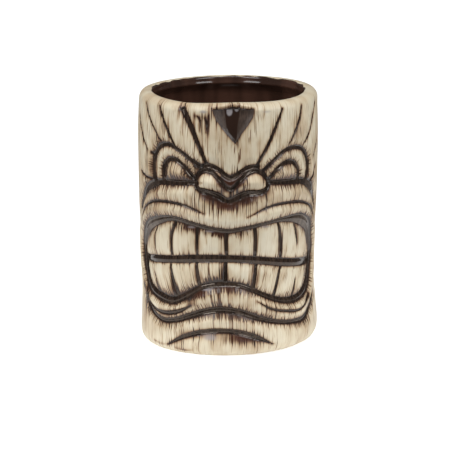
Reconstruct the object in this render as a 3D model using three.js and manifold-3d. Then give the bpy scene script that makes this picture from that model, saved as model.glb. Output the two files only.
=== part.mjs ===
// Tiki mug: a slip-cast earthenware cup with a carved, grimacing face.
// The clay is one casting. The dark glass on it is not: it lines the inside of the cup, and it lies as
// separate strips along the floors of the carved channels, so every strip is a mesh of its own.
// Frame: +Z up, origin at the middle of the foot on the table, the face looks towards -Y.
// Places on the face are [across, up]: millimetres round the wall from the middle of the face (positive
// towards +X) and millimetres above the table.

import * as THREE from "three";
import Module from "manifold-3d";

const wasm = await Module();
wasm.setup();

// ---- Driving dimensions, in millimetres ----

const HEIGHT = 129;
const MOUTH_RADIUS = 38.3; // the opening that one drinks from
const CUP_RADIUS = 40.2; // the inside wall, below the lip
const CUP_CORNER = 10; // radius of the rounded corner between the inside wall and the floor
const FLOOR_TOP = 6; // thickness of the bottom
const LIP_DROP = 2.4; // the lip ends this far below the rim, and the wall steps back from there on
const LIP_STEP = 4; // height of that step
const MOUTH_ROUND = 1.6; // the rim's inner edge is rounded off by about this much
const FOOT_ROUND = 7; // radius of the rounded edge at the bottom
const FOOT_RECESS = 1.2; // the middle of the foot stands this far off the table
const FOOT_INSIDE = 27; // the foot's flat ring starts at this radius
const FOOT_SLOPE = 1.5; // width of the slope from the recess to the ring
const RIM_ROUND = 4.2; // radius of the rim's rounded outer edge
const FACE_RADIUS = 45; // the radius on which distances across the face are measured
const GLAZE_GAP = 0.3; // kept between the glass and the clay
const LINING = 0.6; // thickness of the glass inside the cup
const LINING_GAP = 0.4; // kept between that glass and the clay

// The outside wall: height, radius there, and how far the casting leans towards +X there.
const WALL = [
  [0, 45.0, 0.6],
  [10, 45.1, 0.7],
  [20, 44.6, 0.4],
  [36, 43.9, -0.3],
  [52, 44.2, -0.3],
  [70, 44.9, -0.1],
  [92, 45.4, 0],
  [112, 45.7, 0.1],
  [HEIGHT, 45.3, 0],
];

// Shares of a groove's width and depth.
const FLOOR_SHARE = 0.62; // a groove's floor is this much of its width
const STRIP_TOP_SHARE = 0.25; // the glass starts this far down the groove

// How the surface rounds down towards the grooves, as the pads of a carved face do.
const PAD_DROP = 1.3;
const PAD_REACH = 5;
const SWELLING_FALL = 1.5; // how steeply a swelling falls off

// Broad swellings of the face: [across, up, half-width, half-height, how far they stand out].
const SWELLINGS = [
  [-7.5, 88.6, 10, 6, 2.9], // left half of the nose
  [10.5, 88.6, 10, 6, 2.9], // right half of the nose
  [-30, 76, 26, 11, 1.1], // left cheek and lip
  [32, 76, 26, 11, 1.1], // right cheek and lip
  [-2, 28, 24, 8, 1.0], // lower lip
  [0, 18, 40, 6, 0.6], // chin
];

// ---- The carved grooves ----
// Each has a path, a width, a depth, and trim: how far the glass stops short of the groove's two ends.
// A groove that runs into another one has a longer trim there, so that their strips stay apart.

const MAIN = { width: 3.4, depth: 1.9 };
const LINE = { width: 2.4, depth: 1.4 };
const FINE = { width: 1.9, depth: 1.1 };

const GROOVES = {
  brow_ray_left_1: { ...MAIN, path: [[-24, 124.5], [-19, 116], [-14.8, 106.5], [-11, 99]], trim: [1, 3] },
  brow_ray_left_2: { ...LINE, path: [[-39, 124.5], [-35, 116], [-30.6, 109], [-28, 105]], trim: [1, 3] },
  brow_ray_left_3: { ...FINE, path: [[-52.5, 124.5], [-49, 119], [-42.5, 112], [-37, 106]], trim: [1, 3] },
  brow_ray_left_4: { ...FINE, path: [[-62, 116], [-58, 109], [-50, 101]], trim: [1, 1] },
  brow_ray_right_1: { ...MAIN, path: [[29, 124.5], [25.3, 116.5], [20, 106], [14.5, 97.5]], trim: [1, 3] },
  brow_ray_right_2: {
    ...LINE,
    path: [[42.8, 124.5], [40.9, 118.5], [37.4, 112], [33.5, 106.5]],
    trim: [1, 1],
  },
  brow_ray_right_3: {
    ...FINE,
    path: [[59.5, 123.5], [54, 116], [49.5, 109.5], [44.5, 104.5]],
    trim: [1, 3],
  },
  brow_channel: {
    ...MAIN,
    path: [[-12.5, 97.5], [-5.7, 95.8], [1.4, 91.6], [7.5, 94.6], [14.5, 97]],
    trim: [2, 2],
  },
  outer_eye_arch_left: {
    ...MAIN,
    path: [[-13.5, 96], [-20.3, 101.7], [-26, 104.8], [-33, 105.4], [-39.5, 102], [-42.5, 96], [-42, 87]],
    trim: [3, 3],
  },
  inner_eye_arch_left: {
    ...LINE,
    path: [[-18, 90.5], [-21.8, 95.3], [-26.8, 98.2], [-31.6, 98.2], [-35, 95], [-35.7, 87]],
    trim: [3, 3],
  },
  outer_eye_arch_right: {
    ...MAIN,
    path: [[17.8, 94.5], [23.7, 100], [30.6, 103.8], [38.5, 103.9], [45.2, 99.8], [48, 94.5], [46.5, 86.5]],
    trim: [3, 3],
  },
  inner_eye_arch_right: {
    ...LINE,
    path: [[21.5, 91], [26, 95.3], [31.5, 97.7], [36.8, 96.7], [39.7, 92.5], [40, 87.5]],
    trim: [3, 3],
  },
  under_eye_channel_left: {
    ...MAIN,
    path: [[-16, 88], [-27.5, 87.4], [-41, 85.6], [-50.8, 80], [-60, 71]],
    trim: [3, 1],
  },
  under_eye_channel_right: {
    ...MAIN,
    path: [[20.5, 88], [32, 87.4], [45.5, 85.6], [53.5, 80.5], [62, 72.5]],
    trim: [3, 1],
  },
  nose_bridge_channel: {
    ...LINE,
    path: [[-14, 93.2], [-7, 93.2], [1.4, 86.6], [10, 92.6], [17, 93.2]],
    trim: [2, 2],
  },
  nose_crease: { ...FINE, path: [[1.4, 86.6], [1.4, 80.5]], trim: [2.4, 2.6] },
  under_nose_channel: {
    ...MAIN,
    path: [
      [-16.8, 90], [-15.8, 85.6], [-8.6, 84.4], [0.7, 79],
      [8.3, 83], [14.5, 84], [20.4, 84], [20.6, 90],
    ],
    trim: [3, 3],
  },
  smile_line_left: {
    ...LINE,
    path: [[-57, 64], [-54, 70], [-46.5, 74.7], [-35.5, 77], [-24, 76.8], [-12, 73]],
    trim: [1, 1],
  },
  smile_line_right: {
    ...LINE,
    path: [[60, 64], [56.5, 69.5], [47.7, 74], [33, 76.8], [24, 76.6], [9.5, 71.5]],
    trim: [1, 1],
  },
  mouth_channel: {
    width: 3.8,
    depth: 2.2,
    closed: true,
    path: [
      [0, 64], [-9.5, 65.2], [-18.8, 67], [-30, 69], [-43, 66.5], [-54, 60], [-56.5, 51], [-54, 41],
      [-49, 32], [-40, 26.8], [-31, 26.6], [-22.8, 30.2], [-13.6, 35], [-3, 37], [6, 36.4], [21.3, 29.8],
      [31, 26.6], [42.5, 26.3], [51.7, 30], [55.6, 37], [57, 48.5], [54, 59], [45, 66.8], [30, 68],
      [18.7, 66.9], [9, 65.3],
    ],
  },
  bite_line: {
    width: 4.4,
    depth: 2.4,
    path: [
      [-54, 45.5], [-41, 47], [-28, 48.6], [-14, 50], [0, 50],
      [14, 49], [28.5, 46.8], [42, 44.6], [55, 43],
    ],
    trim: [4, 4],
  },
  upper_tooth_gap_1: { ...FINE, path: [[-39.5, 65], [-42.3, 57], [-42, 48]], trim: [3, 3.5] },
  upper_tooth_gap_2: { ...LINE, path: [[-28.2, 67], [-30.7, 59], [-30, 49]], trim: [3, 3.5] },
  upper_tooth_gap_3: { ...LINE, path: [[-15.1, 65.5], [-15.4, 59], [-15.6, 50]], trim: [3, 3.5] },
  upper_tooth_gap_4: { ...LINE, path: [[-0.5, 64], [-0.4, 58], [-0.1, 50]], trim: [3, 3.5] },
  upper_tooth_gap_5: { ...LINE, path: [[14.1, 65.5], [14.8, 59], [14.7, 50]], trim: [3, 3.5] },
  upper_tooth_gap_6: { ...LINE, path: [[27.2, 67], [29.5, 59], [29.2, 47.5]], trim: [3, 3.5] },
  upper_tooth_gap_7: { ...FINE, path: [[39, 66.5], [41.5, 59], [42.5, 53]], trim: [3, 1] },
  lower_tooth_gap_1: { ...FINE, path: [[-43.5, 41], [-41.4, 34], [-37, 27.5]], trim: [1, 3] },
  lower_tooth_gap_2: { ...LINE, path: [[-31.8, 47.5], [-30, 38], [-27, 29]], trim: [3.5, 3] },
  lower_tooth_gap_3: { ...LINE, path: [[-16.2, 49], [-16, 41], [-14.6, 35]], trim: [3.5, 3] },
  lower_tooth_gap_4: { ...LINE, path: [[-0.7, 49], [-0.9, 43], [-1.1, 37]], trim: [3.5, 3] },
  lower_tooth_gap_5: { ...LINE, path: [[15.2, 48], [14.7, 40], [13.2, 33.5]], trim: [3.5, 3] },
  lower_tooth_gap_6: { ...LINE, path: [[29.3, 46], [28, 37.5], [24.6, 29]], trim: [3.5, 3] },
  lower_tooth_gap_7: { ...FINE, path: [[41.3, 37], [38, 27.5]], trim: [1, 3] },
  lower_lip_line_left: {
    ...FINE,
    path: [[-53.5, 26], [-45, 20.8], [-36.5, 20.2], [-27, 22.4], [-19.5, 26]],
    trim: [1, 1],
  },
  lower_lip_line_right: {
    ...FINE,
    path: [[15, 28], [22, 23.8], [31, 21.4], [44, 20.8], [53, 24.5]],
    trim: [1, 1],
  },
  lower_lip_channel: {
    ...MAIN,
    path: [
      [-58, 26], [-47, 17.2], [-39.5, 14.8], [-29.5, 15.8], [-20.3, 19], [-12, 22], [-3, 23.8], [6, 22.8],
      [15.4, 19.8], [24.6, 16.6], [36, 14.4], [47.5, 15.2], [59, 22],
    ],
    trim: [1, 1],
  },
  chin_arc: {
    ...LINE,
    path: [[-33, 4.8], [-24.5, 8.8], [-16, 11.6], [-4, 13], [5.5, 12.2], [14, 9.4], [22.5, 5.4]],
    trim: [1, 1],
  },
};

// The V-shaped notch under the rim: height and half-width, from its top to its point.
const NOTCH_MIDDLE = 3.2;
const NOTCH_DEPTH = 1.5;
const NOTCH_POINT = 0.3; // half-width of its blunt point
const NOTCH = [
  [125, 11],
  [121.5, 9.4],
  [117, 6.4],
  [113, 3.6],
  [109, 0.9],
];

// ---- Fineness of the solids ----

const COLUMNS = 48;
const ROWS = 20;
const ARC_STEPS = 3;
const LINING_COLUMNS = 48;
const FRONT_CROWDING = 0.42; // columns stand closer together on the face than at the back
const STEP_LENGTH = 7; // along a groove
const TRACE_STEP = 2; // between the points at which the distance to a groove is measured
const OUTSIDE = 3; // a groove's cutter reaches this far past the wall
const BREAK_RADIUS = 42; // wall points outside this radius take the face's relief

// ---- Colours ----

const clay = new THREE.MeshStandardMaterial({ color: 0xd6c9ad, roughness: 0.45, metalness: 0 });
const darkGlass = new THREE.MeshStandardMaterial({ color: 0x2a1b15, roughness: 0.12, metalness: 0 });

// ---- The wall ----

// A column of the WALL table at height z, on straight lines between its rows.
function wallColumn(z, column) {
  const above = WALL.findIndex((row) => row[0] >= z);
  if (above < 0) return WALL.at(-1)[column];
  if (above === 0) return WALL[0][column];
  const [low, high] = [WALL[above - 1], WALL[above]];
  return THREE.MathUtils.mapLinear(z, low[0], high[0], low[column], high[column]);
}

const wallRadius = (z) => wallColumn(z, 1);
const lean = (z) => wallColumn(z, 2);

// The smooth line of a groove, as a curve whose x is across and y is up.
function lineOf({ path, closed = false }) {
  return new THREE.CatmullRomCurve3(
    path.map(([across, up]) => new THREE.Vector3(across, up, 0)),
    closed,
    "centripetal",
  );
}

const traced = Object.values(GROOVES).map((groove) => {
  const line = lineOf(groove);
  return { points: line.getSpacedPoints(Math.ceil(line.getLength() / TRACE_STEP)), half: groove.width / 2 };
});

// The distance from a place on the face to the edge of the nearest groove.
function toNearestGroove(across, up) {
  const here = new THREE.Vector3(across, up, 0);
  const distances = traced.map(({ points, half }) => {
    return Math.min(...points.map((point) => point.distanceTo(here))) - half;
  });
  return Math.max(0, Math.min(...distances));
}

// How far the surface stands out from the plain wall at a place on the face.
function relief(across, up) {
  const rounded = THREE.MathUtils.smoothstep(toNearestGroove(across, up), 0, PAD_REACH) - 1;
  const swollen = SWELLINGS.map(([a, u, wide, high, out]) => {
    const away = ((across - a) / wide) ** 2 + ((up - u) / high) ** 2;
    return out * Math.exp(-SWELLING_FALL * away);
  });
  return PAD_DROP * rounded + Math.max(...swollen);
}

// The point at a distance across the face, a height and a radius. The outside leans, and the inside doesn't.
function place(across, up, radius, leaning = lean(up)) {
  const turn = across / FACE_RADIUS;
  return new THREE.Vector3(radius * Math.sin(turn) + leaning, -radius * Math.cos(turn), up);
}

// ---- Solids ----

// A geometry as a manifold-3d solid, by merging the points that coincide.
function solid(points, triangles) {
  const mesh = new wasm.Mesh({
    numProp: 3,
    vertProperties: new Float32Array(points.flatMap((p) => [p.x, p.y, p.z])),
    triVerts: new Uint32Array(triangles),
  });
  mesh.merge();
  return new wasm.Manifold(mesh);
}

function geometryOf(manifold) {
  const { numProp, vertProperties, triVerts } = manifold.getMesh();
  const count = vertProperties.length / numProp;
  const positions = new Float32Array(count * 3);
  for (let i = 0; i < count; i++) positions.set(vertProperties.subarray(i * numProp, i * numProp + 3), i * 3);
  const geometry = new THREE.BufferGeometry();
  geometry.setAttribute("position", new THREE.BufferAttribute(positions, 3));
  geometry.setIndex(new THREE.BufferAttribute(triVerts, 1));
  geometry.computeVertexNormals();
  return geometry;
}

// Skins a row of equal rings of points, and closes its ends with fans unless the row is a loop.
function loft(rings, closed) {
  const size = rings[0].length;
  const points = rings.flat();
  const triangles = [];
  const spans = closed ? rings.length : rings.length - 1;
  for (let i = 0; i < spans; i++) {
    const [here, next] = [i * size, ((i + 1) % rings.length) * size];
    for (let j = 0; j < size; j++) {
      const k = (j + 1) % size;
      triangles.push(here + j, next + j, here + k, here + k, next + j, next + k);
    }
  }
  const last = points.length - size;
  for (let j = 1; j < size - 1 && !closed; j++) {
    triangles.push(0, j, j + 1, last, last + j + 1, last + j);
  }
  return solid(points, triangles);
}

// A revolved profile of [radius, height] points, with each wall point moved by shape(angle, radius, height).
function revolve(profile, columns, shape) {
  const lathe = new THREE.LatheGeometry(profile.map(([r, z]) => new THREE.Vector2(r, z)), columns);
  const at = lathe.getAttribute("position");
  const rows = profile.length;
  const points = [];
  for (let i = 0; i < at.count; i++) {
    const [radius, height] = profile[i % rows];
    const angle = ((Math.floor(i / rows) % columns) / columns) * 2 * Math.PI;
    points.push(shape(angle > Math.PI ? angle - 2 * Math.PI : angle, radius, height));
  }
  return solid(points, Array.from(lathe.index.array));
}

// Points on a quarter arc about a centre, from one angle to another, in degrees.
function arc(radius, height, round, from, to, steps = ARC_STEPS) {
  return Array.from({ length: steps + 1 }, (_, i) => {
    const turn = THREE.MathUtils.degToRad(from + ((to - from) * i) / steps);
    return [radius + round * Math.cos(turn), height + round * Math.sin(turn)];
  });
}

// The inside of the cup, from the opening's edge down to the middle of the floor, drawn inwards by a gap.
function insideOfCup(gap) {
  return [
    [MOUTH_RADIUS - gap, HEIGHT - MOUTH_ROUND - gap],
    [MOUTH_RADIUS - gap, HEIGHT - LIP_DROP],
    [CUP_RADIUS - gap, HEIGHT - LIP_DROP - LIP_STEP],
    ...arc(CUP_RADIUS - CUP_CORNER - gap, FLOOR_TOP + CUP_CORNER + gap, CUP_CORNER, 0, -90),
    [0, FLOOR_TOP + gap],
  ];
}

// The uncarved clay: foot, wall with the pads of the face, rounded rim and inside.
function plainBody() {
  const top = HEIGHT - RIM_ROUND;
  const wall = Array.from({ length: ROWS - 1 }, (_, i) => {
    const z = THREE.MathUtils.lerp(FOOT_ROUND, top, (i + 1) / ROWS);
    return [wallRadius(z), z];
  });
  const foot = wallRadius(FOOT_ROUND) - FOOT_ROUND;
  const profile = [
    [0, FOOT_RECESS],
    [FOOT_INSIDE - FOOT_SLOPE, FOOT_RECESS],
    [FOOT_INSIDE, 0],
    ...arc(foot, FOOT_ROUND, FOOT_ROUND, -90, 0),
    ...wall,
    ...arc(wallRadius(top) - RIM_ROUND, top, RIM_ROUND, 0, 90),
    [MOUTH_RADIUS + MOUTH_ROUND / 3, HEIGHT - MOUTH_ROUND / 3],
    ...insideOfCup(0),
  ];
  return revolve(profile, COLUMNS, (angle, radius, height) => {
    const turn = angle - FRONT_CROWDING * Math.sin(angle);
    const across = turn * FACE_RADIUS;
    const outside = radius > BREAK_RADIUS;
    const shaped = outside && height <= top ? radius + relief(across, height) : radius;
    return place(across, height, shaped, outside ? lean(height) : 0);
  });
}

// The stations along a groove, each with its place, the direction across it, and the wall's radius there.
function stations(groove) {
  const line = lineOf(groove);
  const count = Math.max(2, Math.ceil(line.getLength() / STEP_LENGTH));
  return Array.from({ length: groove.closed ? count : count + 1 }, (_, i) => {
    const point = line.getPointAt(i / count);
    const along = line.getTangentAt(i / count);
    const radius = wallRadius(point.y) + relief(point.x, point.y);
    return { point, side: new THREE.Vector3(-along.y, along.x, 0), radius };
  });
}

// The same stations with a length cut off the start of their row. They stay on the groove's own chords, so
// that what is swept along them keeps its gap to the groove.
function cutBack(row, length) {
  const [first, second] = row;
  const span = first.point.distanceTo(second.point);
  if (span <= length) return cutBack(row.slice(1), length - span);
  const share = length / span;
  const start = {
    point: first.point.clone().lerp(second.point, share),
    side: first.side.clone().lerp(second.side, share),
    radius: THREE.MathUtils.lerp(first.radius, second.radius, share),
  };
  return [start, ...row.slice(1)];
}

function trimmed(row, [from, to]) {
  return cutBack(cutBack(row, from).reverse(), to).reverse();
}

// Sweeps a section along a row of stations; each corner is [half-width, depth below the surface].
function swept(row, corners, closed) {
  const rings = row.map(({ point, side, radius }) =>
    corners.map(([half, depth]) => place(point.x + side.x * half, point.y + side.y * half, radius - depth)),
  );
  return loft(rings, closed);
}

// What a groove takes out of the clay: sloping sides below the surface, and straight ones above it.
function grooveCutter(groove) {
  const half = groove.width / 2;
  const floor = half * FLOOR_SHARE;
  const sloping = [[half, 0], [floor, groove.depth], [-floor, groove.depth], [-half, 0]];
  const corners = [[-half, -OUTSIDE], [half, -OUTSIDE], ...sloping];
  return swept(stations(groove), corners, groove.closed);
}

// The strip of glass in a groove: narrower than the groove, and lower than its edges.
function grooveGlass(groove) {
  const half = groove.width / 2;
  const widthAt = (depth) => half * (1 - ((1 - FLOOR_SHARE) * depth) / groove.depth) - GLAZE_GAP;
  const top = groove.depth * STRIP_TOP_SHARE;
  const bottom = groove.depth - GLAZE_GAP;
  const [wide, narrow] = [widthAt(top), widthAt(bottom)];
  const corners = [[-wide, top], [wide, top], [narrow, bottom], [-narrow, bottom]];
  const row = groove.closed ? stations(groove) : trimmed(stations(groove), groove.trim);
  return swept(row, corners, groove.closed);
}

// The notch, as rings of six points down its middle line: two outer corners, two inner ones, and a middle
// point on each face, because it is wide enough for the wall's curve to matter.
function notch(inset, top, bottom) {
  const rings = NOTCH.map(([up, width], i) => {
    const half = Math.max(NOTCH_POINT, width - inset);
    const down = i === 0 ? inset : 0;
    const lift = i === NOTCH.length - 1 ? inset : 0;
    const height = up - down + lift;
    const section = [[-half, top], [0, top], [half, top], [half, bottom], [0, bottom], [-half, bottom]];
    return section.map(([side, depth]) => place(NOTCH_MIDDLE + side, height, wallRadius(height) - depth));
  });
  return loft(rings, false);
}

// The glass in the notch: inset from its edges, below the surface and clear of its floor.
function notchGlass() {
  return notch(GLAZE_GAP, NOTCH_DEPTH * STRIP_TOP_SHARE, NOTCH_DEPTH - GLAZE_GAP);
}

// The lining: the inside of the cup drawn inwards twice, as one closed skin.
function lining() {
  const outer = insideOfCup(LINING_GAP);
  const inner = insideOfCup(LINING_GAP + LINING);
  const upAndDown = [...outer.reverse(), ...inner];
  return revolve(upAndDown, LINING_COLUMNS, (angle, radius, height) => {
    return place(angle * FACE_RADIUS, height, radius, 0);
  });
}

// ---- The mug ----

function part(name, manifold, material) {
  const mesh = new THREE.Mesh(geometryOf(manifold), material);
  mesh.name = name;
  return mesh;
}

const cutters = [...Object.values(GROOVES).map(grooveCutter), notch(0, -OUTSIDE, NOTCH_DEPTH)];
const body = plainBody().subtract(wasm.Manifold.union(cutters));

const mug = new THREE.Group();
mug.add(part("cast_body", body, clay));
mug.add(part("interior_glaze", lining(), darkGlass));
mug.add(part("forehead_notch_glaze", notchGlass(), darkGlass));
for (const [name, groove] of Object.entries(GROOVES)) {
  mug.add(part(`${name}_glaze`, grooveGlass(groove), darkGlass));
}

export default mug;
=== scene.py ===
import bpy
import numpy as np
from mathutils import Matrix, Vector


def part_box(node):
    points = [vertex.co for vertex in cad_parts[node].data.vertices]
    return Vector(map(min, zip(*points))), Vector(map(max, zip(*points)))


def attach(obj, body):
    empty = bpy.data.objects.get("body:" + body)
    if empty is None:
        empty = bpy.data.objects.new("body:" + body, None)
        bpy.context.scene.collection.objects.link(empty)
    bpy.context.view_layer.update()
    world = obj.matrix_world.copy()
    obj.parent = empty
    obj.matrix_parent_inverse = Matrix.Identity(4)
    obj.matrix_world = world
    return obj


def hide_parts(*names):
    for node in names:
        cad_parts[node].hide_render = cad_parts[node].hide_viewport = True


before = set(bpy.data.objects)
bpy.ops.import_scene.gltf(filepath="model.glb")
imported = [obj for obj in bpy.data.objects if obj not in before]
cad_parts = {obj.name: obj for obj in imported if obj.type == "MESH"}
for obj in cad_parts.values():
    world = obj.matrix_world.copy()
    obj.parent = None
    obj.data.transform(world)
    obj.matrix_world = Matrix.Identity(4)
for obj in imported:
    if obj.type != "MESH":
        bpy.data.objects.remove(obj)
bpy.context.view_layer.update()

# ---- The camera ----
# It stands a metre and a half in front of the mug, a little above it, with a long lens, and looks just under
# the middle of the face.

MM = 0.001
CAD_LOW, CAD_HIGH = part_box("cast_body")
HEIGHT = (CAD_HIGH.z - CAD_LOW.z) / MM
CAMERA_RISE = np.radians(12)
CAMERA_AWAY = 1.5
LENS = 235.6
AIM_ACROSS = -1.55
AIM_UP = 0.45 * HEIGHT
AIM = Vector((AIM_ACROSS * MM, 0, AIM_UP * MM))


def look(thing, place, target):
    """Puts a camera or a light at a place, with its -Z axis towards the target."""
    thing.location = place
    thing.rotation_euler = (Vector(target) - Vector(place)).to_track_quat("-Z", "Y").to_euler()
    bpy.context.scene.collection.objects.link(thing)
    return thing


camera = bpy.data.objects.new("camera", bpy.data.cameras.new("camera"))
camera.data.lens = LENS
camera.data.sensor_width = 36
toward = Vector((0, -np.cos(CAMERA_RISE), np.sin(CAMERA_RISE)))
look(camera, AIM + CAMERA_AWAY * toward, AIM)
bpy.context.scene.camera = camera

# ---- The cast body ----
# One casting of cream earthenware, with the foot, the wall, the rim and the face in one piece. The mould was
# taken from carved wood, so the wall has its grain, and a brown wash was rubbed into every cut of it.

FACE_RADIUS = 45.0  # the radius on which distances across the face are measured

# The plain wall: its radius, and how far it leans towards +X, at heights above the table.
WALL_UP = np.array([0, 10, 20, 36, 52, 70, 92, 112, 129.0])
WALL_RADIUS = np.array([44.8, 44.9, 44.4, 43.7, 44.0, 44.7, 45.2, 45.4, 44.8])
WALL_LEAN = np.array([0.6, 0.7, 0.4, -0.3, -0.3, -0.1, 0.0, 0.1, 0.2])

MOUTH_RADIUS = 38.3  # the opening that one drinks from
CUP_RADIUS = 40.2  # the inside wall, below the lip
FLOOR_TOP = 6.0  # thickness of the bottom
CUP_CORNER = 10.0  # radius of the corner between the inside wall and the floor
FOOT_ROUND = 7.0  # radius of the rounded edge at the bottom
FOOT_INSIDE = 27.0  # the foot's flat ring starts at this radius
FOOT_RECESS = 1.2  # the middle of the foot stands this far off the table
RIM_ROUND = 4.2  # radius of the rim's rounded outer edge
LIP_ROUND = 1.3  # radius of its rounded inner edge
LIP_DROP = 3.6  # the lip ends this far below the rim
LIP_STEP = 4.0  # and the wall steps back over this height

# The casting is a little uneven: how far the rim drops, and how the foot's rounding changes, round the wall.
RIM_TURN = np.radians([-180, -150, -120, -90, -55, -30, -10, 5, 20, 45, 70, 90, 122, 150, 180])
RIM_DROP = np.array([0.1, 0.4, 0.5, 0.4, 1.4, 1.9, 1.3, 0.9, 1.2, 1.4, 0.9, 0.1, -0.2, 0.0, 0.1])
FOOT_TURN = np.radians([-180, -90, -45, 0, 45, 90, 180])
FOOT_CHANGE = np.array([0, -1.8, -2.8, -1.8, 0.2, 1.6, 0])

# The foot's underside as points (radius, up), from near its middle out to the ring that it stands on.
UNDER_FOOT = [(2, FOOT_RECESS), (14, FOOT_RECESS), (24.5, FOOT_RECESS), (26, 0.6), (FOOT_INSIDE, 0.05)]

COLUMNS = 440
FRONT_CROWDING = 0.52  # how much closer together the columns are on the face
WALL_ROWS = 172
ROUND_ROWS = 8  # on the foot's rounded edge, and on the rim's
OUTSIDE_ROWS = len(UNDER_FOOT) + 2 * ROUND_ROWS + WALL_ROWS

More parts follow.
